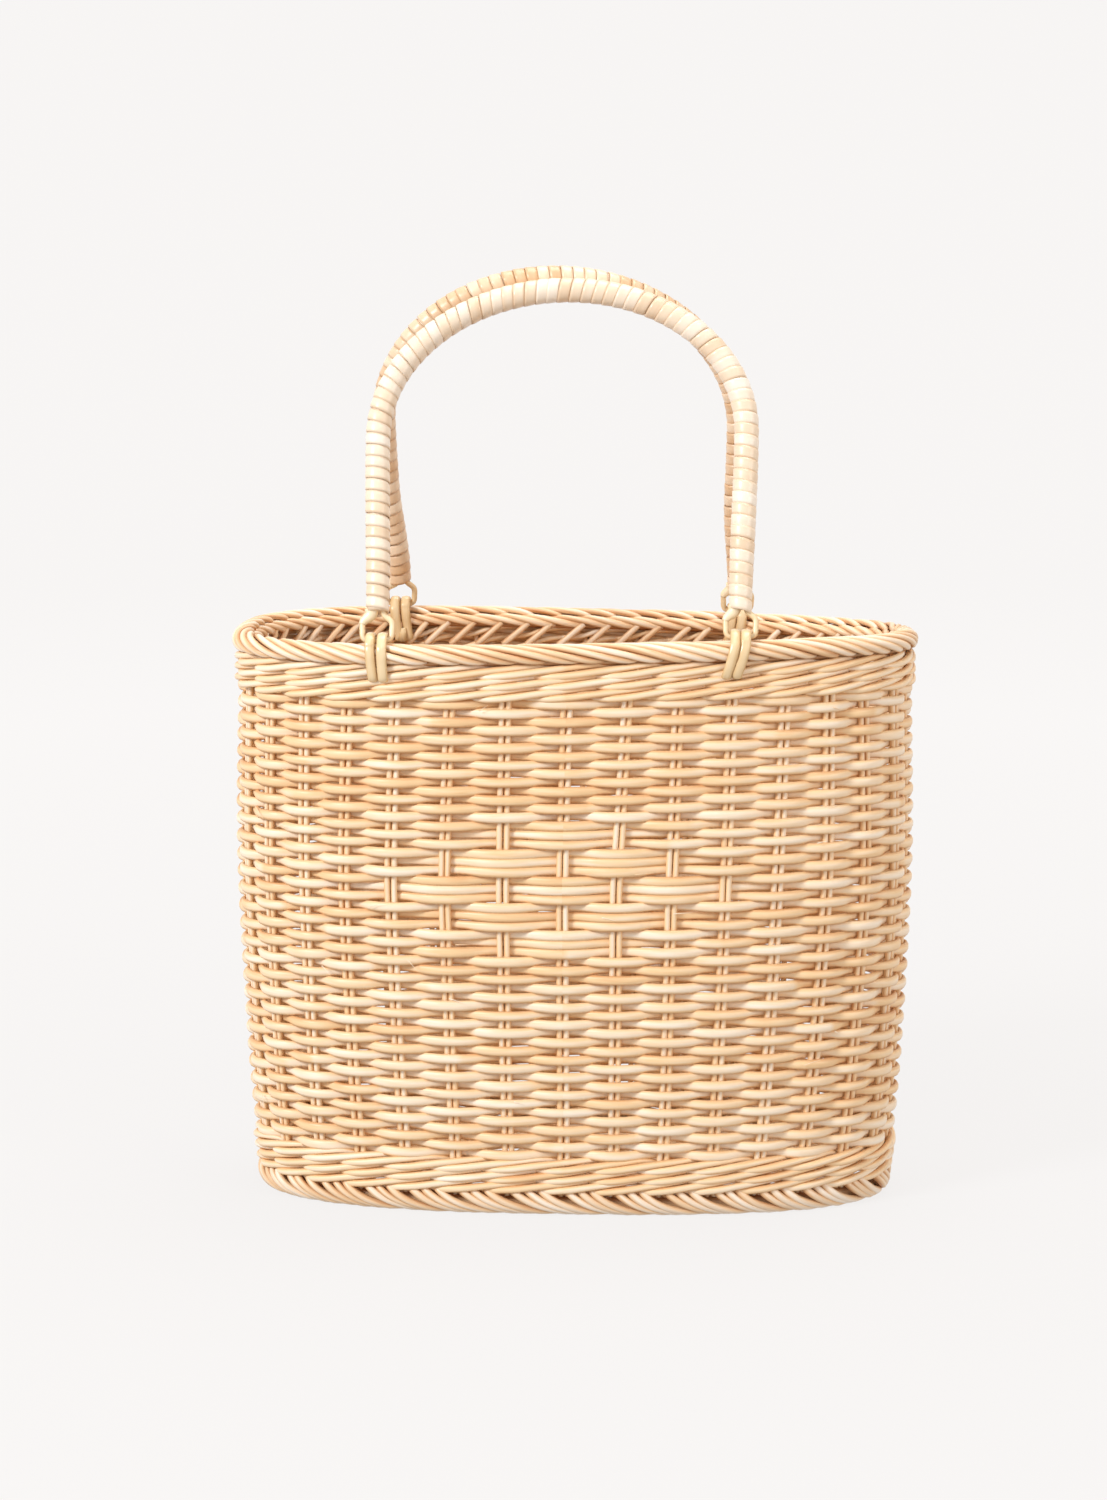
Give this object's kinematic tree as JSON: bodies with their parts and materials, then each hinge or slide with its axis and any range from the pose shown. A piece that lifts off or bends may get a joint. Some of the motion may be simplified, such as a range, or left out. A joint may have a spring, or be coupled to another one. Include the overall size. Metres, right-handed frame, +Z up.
{
  "type": "straw basket bag",
  "caption": "Tall oval woven basket bag with a rope-like rolled rim, banded foot and rim rows, a raised woven diamond on the front and wrapped swing handles tied to the rim.",
  "frame": {"origin": "on the ground under the middle of the basket", "axes": "+Z up, -Y towards the front with the woven diamond, +X to the right along the basket's length seen from the front"},
  "size_m": [0.3202, 0.1445, 0.4355],
  "materials": {
    "woven_rods": "peeled willow-like rods, woven, matte with a soft sheen",
    "border_rods": "peeled rods rolled into a border, soft sheen",
    "tie_cane": "glossy flat cane",
    "handle_peel": "pale glossy peel wrapped closely round the handle",
    "eye_cane": "bare round cane, satin"
  },
  "bodies": {
    "basket": {"foot_border": "border_rods", "base": "woven_rods", "lower_wale": "woven_rods", "side_weave": "woven_rods", "upper_wale": "woven_rods", "rim_border": "border_rods", "tie_front_left": "tie_cane", "tie_front_right": "tie_cane", "tie_back_left": "tie_cane", "tie_back_right": "tie_cane"},
    "front_handle": {"handle_front_wrap": "handle_peel", "handle_front_eye_left": "eye_cane", "handle_front_eye_right": "eye_cane"},
    "back_handle": {"handle_back_wrap": "handle_peel", "handle_back_eye_left": "eye_cane", "handle_back_eye_right": "eye_cane"}
  },
  "joints": [
    {"name": "front_handle_swing", "type": "hinge", "parent": "basket", "child": "front_handle", "pos_m": [-0.00498, -0.05919, 0.27059], "axis": [0.9998, -0.0109, 0.0167], "range_deg": [0, 107]},
    {"name": "back_handle_swing", "type": "hinge", "parent": "basket", "child": "back_handle", "pos_m": [-0.00498, 0.05919, 0.27071], "axis": [-0.9998, -0.0109, 0.0167], "range_deg": [0, 107]}
  ]
}
